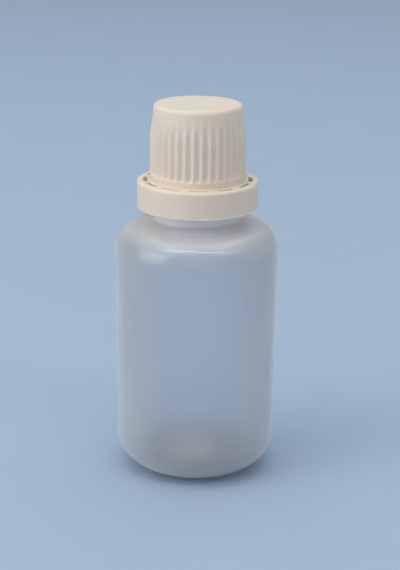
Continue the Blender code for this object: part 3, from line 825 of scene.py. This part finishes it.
def ring_section(web_bore):
    """The ring's closed section for one column, from the web's inner edge over the top and round the lip."""
    side_heights = np.linspace(RING_SIDE_TOP, RING_SIDE_LOW, 8)
    edge_heights = np.linspace(RING_SIDE_LOW - ROW_GAP, RING_EDGE_LOW, 6)
    heights = np.concatenate([side_heights, edge_heights])
    radii = RING_RADIUS - RING_DRAFT * (RING_TOP - heights) / (RING_TOP - RING_LOW)
    return rounded([
        (web_bore, RING_TOP - WEB_THICKNESS / 2, 0),
        (web_bore, RING_TOP, WEB_FILLET),
        (RING_RADIUS, RING_TOP, RING_FILLET),
        *((radius, height, 0) for radius, height in zip(radii, heights)),
        (RING_RADIUS - RING_DRAFT, RING_LOW, RING_EDGE_FILLET),
        (RING_LIP_RADIUS + RING_LIP_BEVEL, RING_LOW, SHARP_FILLET),
        (RING_LIP_RADIUS, RING_LOW + RING_LIP_BEVEL, SHARP_FILLET),
        (RING_LIP_RADIUS, RING_LIP_TOP, RING_LIP_FILLET),
        (RING_BORE, RING_LIP_TOP, RING_LIP_ROOT_FILLET),
        (RING_BORE, RING_TOP - WEB_THICKNESS, WEB_ROOT_FILLET),
        (web_bore, RING_TOP - WEB_THICKNESS, WEB_FILLET),
        (web_bore, RING_TOP - WEB_THICKNESS / 2, 0),
    ], step=0.01)[:-1]


def ring_edge(radius, height, angle):
    """How far the lower edge stands out: a flare, mostly on the right, and the nub that the gate left.

    The flare grows as a smooth step down the last FLARE_HEIGHT. The nub is a Gaussian in both directions,
    and the flare gives way round it by a wider one.
    """
    outside = radius > RING_MIDDLE
    from_right = np.abs((angle - math.radians(FLARE_ANGLE) + math.pi) % (2 * math.pi) - math.pi)
    right = 1 - smooth_step(from_right, math.radians(FLARE_FULL), math.radians(FLARE_END))
    share = FLARE_LEAST + (1 - FLARE_LEAST) * right
    flare = FLARE * share * smooth_step(RING_LOW + FLARE_HEIGHT - height, 0, FLARE_HEIGHT)
    from_gate = radius * (angle - math.radians(GATE_ANGLE - 90))
    nub = np.exp(-((from_gate / GATE_WIDTH) ** 2)) * np.exp(-(((height - GATE_MIDDLE) / GATE_HEIGHT) ** 2))
    gap = 1 - np.exp(-((from_gate / GATE_GAP) ** 2))
    return outside * np.maximum(flare * gap, FLARE * nub)


slot_middles = np.radians(SLOT_ANGLE - 90) + 2 * math.pi * np.arange(SLOT_COUNT) / SLOT_COUNT
edge_columns = np.radians(np.linspace(-SLOT_EDGE_REACH, SLOT_EDGE_REACH, 7))
gate_columns = np.arange(-GATE_REACH, GATE_REACH + GATE_COLUMN / 2, GATE_COLUMN)
ring_columns = [np.radians(np.arange(-180, 180, RING_COLUMN)), np.radians(GATE_ANGLE - 90 + gate_columns)]
for side in (-1, 1):
    ring_columns += [middle + side * math.radians(SLOT_WIDTH / 2) + edge_columns for middle in slot_middles]
ring_columns = (np.concatenate(ring_columns) + math.pi) % (2 * math.pi) - math.pi
ring_columns = np.unique(np.round(ring_columns, 5))
open_share = slot_share(ring_columns)[None, :]
web, slotted = ring_section(WEB_BORE), ring_section(SLOT_BORE)
ring_radius = web[:, :1] * (1 - open_share) + slotted[:, :1] * open_share
ring_height = web[:, 1:] * (1 - open_share) + slotted[:, 1:] * open_share
ring_radius = ring_radius + ring_edge(ring_radius, ring_height, ring_columns[None, :])
ring = turned_shell("ring_shell", ring_radius, ring_height, ring_columns)
ring.data.materials.append(warm_white_plastic("ring_plastic", RING_LIGHT_INSIDE))
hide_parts("tamper_ring")
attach(ring, "tamper_ring")


# Studio
# A wide pale floor, soft lamps and a camera where the photographer stood, a little above the bottle.

FLOOR_SIZE = 6.0
FLOOR_DARK = (0.395, 0.505, 0.660)
FLOOR_PALE = (0.405, 0.515, 0.670)
ROOM_COLOUR = (0.95, 0.98, 1.0)
ROOM_LIGHT = 0.40
VIEW_DISTANCE = 0.330
VIEW_ELEVATION = 17.20
VIEW_ROLL = 0.66
VIEW_SIDE = 0.0007
AIM_HEIGHT = 0.0383
LENS = 102.7


def floor_paper(name):
    """Pale blue paper, matt all over."""
    material, tree, shader, place = finish_material(name)
    tint = ramped(tree, noise(tree, place, scale=40), 0.3, 0.7, FLOOR_DARK, FLOOR_PALE)
    tree.links.new(tint, shader.inputs["Base Color"])
    shader.inputs["Roughness"].default_value = 0.9
    return material


floor_mesh = bpy.data.meshes.new("floor")
half = FLOOR_SIZE / 2
floor_corners = [(-half, -half, 0), (half, -half, 0), (half, half, 0), (-half, half, 0)]
floor_mesh.from_pydata(floor_corners, [], [(0, 1, 2, 3)])
floor_mesh.materials.append(floor_paper("floor_paper"))
floor = bpy.data.objects.new("floor", floor_mesh)
bpy.context.scene.collection.objects.link(floor)


def soft_lamp(name, place, width, height, power, colour):
    """An area lamp, its power in watts, with its width kept level, that faces the middle of the bottle."""
    lamp = bpy.data.lights.new(name, "AREA")
    lamp.shape = "RECTANGLE"
    lamp.size = width
    lamp.size_y = height
    lamp.energy = power
    lamp.color = colour
    holder = bpy.data.objects.new(name, lamp)
    holder.location = place
    aim = holder.location.copy()
    aim.z -= AIM_HEIGHT
    holder.rotation_mode = "QUATERNION"
    holder.rotation_quaternion = aim.to_track_quat("Z", "Y")
    bpy.context.scene.collection.objects.link(holder)


# Each lamp's place, width, height, power and colour.
soft_lamp("left_lamp", (-0.93, -0.40, 0.28), 0.75, 0.75, 2.4, (1.0, 0.96, 0.92))
soft_lamp("key_lamp", (-0.70, -0.25, 0.70), 0.9, 0.9, 1.6, (1.0, 0.97, 0.94))
soft_lamp("front_lamp", (-0.15, -0.95, 0.45), 1.6, 1.0, 0.75, (1.0, 0.90, 0.79))
soft_lamp("right_lamp", (1.0, 0.10, 0.25), 0.9, 0.9, 0.55, (1.0, 0.92, 0.83))
soft_lamp("strip_lamp", (-0.08, -0.50, 0.98), 2.2, 0.065, 3.5, (1.0, 1.0, 1.0))
soft_lamp("top_lamp", (0.0, 0.25, 1.1), 1.2, 1.2, 4.3, (0.86, 0.955, 1.0))

world = bpy.data.worlds.new("soft_room")
world.use_nodes = True
world.node_tree.nodes["Background"].inputs["Color"].default_value = (*ROOM_COLOUR, 1)
world.node_tree.nodes["Background"].inputs["Strength"].default_value = ROOM_LIGHT
bpy.context.scene.world = world

camera_data = bpy.data.cameras.new("camera")
camera_data.lens = LENS
camera_data.clip_start = 0.01
camera = bpy.data.objects.new("camera", camera_data)
elevation = math.radians(VIEW_ELEVATION)
view_height = AIM_HEIGHT + VIEW_DISTANCE * math.sin(elevation)
camera.location = (VIEW_SIDE, -VIEW_DISTANCE * math.cos(elevation), view_height)
camera.rotation_euler = (math.pi / 2 - elevation, 0, 0)
camera.rotation_euler.rotate_axis("Z", math.radians(VIEW_ROLL))
bpy.context.scene.collection.objects.link(camera)
bpy.context.scene.camera = camera
bpy.context.scene.view_settings.view_transform = "Standard"
